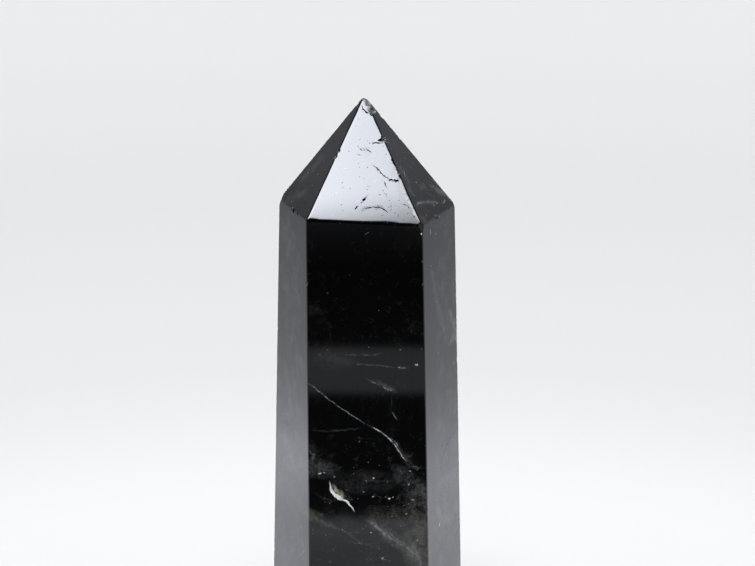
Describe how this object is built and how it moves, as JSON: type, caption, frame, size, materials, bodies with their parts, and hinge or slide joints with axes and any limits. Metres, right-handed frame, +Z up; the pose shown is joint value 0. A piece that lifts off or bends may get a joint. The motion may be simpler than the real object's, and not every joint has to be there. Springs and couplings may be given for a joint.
{
  "type": "morion quartz crystal",
  "caption": "Polished black smoky quartz point with a tapering six-sided shaft, a six-faced pyramid end with small chips, and a flat sawn foot that it stands on.",
  "frame": {"origin": "in the plane of the flat sawn foot, near its middle and under the point", "axes": "+Z up along the crystal towards its point, +X to the right and -Y to the front, as the picture shows it"},
  "size_m": [0.04, 0.0326, 0.1294],
  "materials": {
    "morion": "black quartz polished to a mirror, with pale healed cracks, small specks, an olive-grey haze low in the front face, and rough grey chips on the edges"
  },
  "bodies": {
    "root": {"crystal": "morion"}
  },
  "joints": []
}
